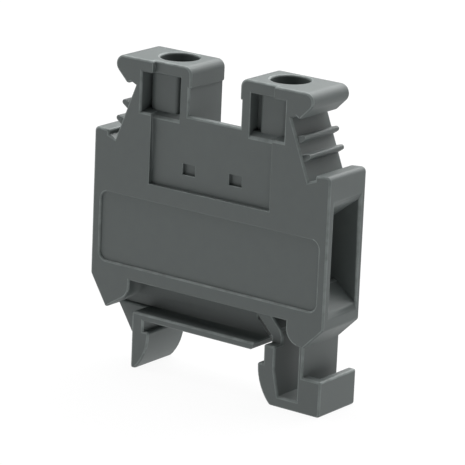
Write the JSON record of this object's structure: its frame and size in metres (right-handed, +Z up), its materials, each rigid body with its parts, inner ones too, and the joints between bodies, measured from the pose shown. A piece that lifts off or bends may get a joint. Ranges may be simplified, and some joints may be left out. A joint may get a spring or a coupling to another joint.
{
  "type": "mini terminal block",
  "caption": "Slim moulded feed-through terminal block with rising-cage wire clamps below screwdriver towers and a sprung clip foot for a narrow mounting rail.",
  "frame": {"origin": "centre of the block's footprint, on the surface that its feet stand on", "axes": "+X along the block from the fixed foot to the sprung foot, +Y from the closed front to the open back, +Z up to the screwdriver towers"},
  "size_m": [0.0292, 0.0062, 0.0323],
  "materials": {
    "housing": "fine matt moulded polyamide",
    "bar": "rolled strip",
    "cage": "zinc plated, bent sheet",
    "screw": "zinc plated, turned"
  },
  "bodies": {
    "block": {"housing": "housing", "current_bar": "bar"},
    "left_cage": {"left_clamp_cage": "cage"},
    "right_cage": {"right_clamp_cage": "cage"},
    "left_screw": {"left_clamp_screw": "screw"},
    "right_screw": {"right_clamp_screw": "screw"}
  },
  "joints": [
    {"name": "left_screw_turn", "type": "hinge", "parent": "block", "child": "left_screw", "pos_m": [-0.0068, 0.0005, 0.0231], "axis": [0, 0, -1], "range_deg": [0, 2016]},
    {"name": "right_screw_turn", "type": "hinge", "parent": "block", "child": "right_screw", "pos_m": [0.0068, 0.0005, 0.0231], "axis": [0, 0, -1], "range_deg": [0, 2016]},
    {"name": "left_cage_lift", "type": "slide", "parent": "block", "child": "left_cage", "axis": [0, 0, 1], "range_m": [0, 0.0028]},
    {"name": "right_cage_lift", "type": "slide", "parent": "block", "child": "right_cage", "axis": [0, 0, 1], "range_m": [0, 0.0028]}
  ],
  "couplings": [
    {"joint": "left_screw_turn", "follows": "left_cage_lift", "rad_per_m": 12566},
    {"joint": "right_screw_turn", "follows": "right_cage_lift", "rad_per_m": 12566}
  ]
}
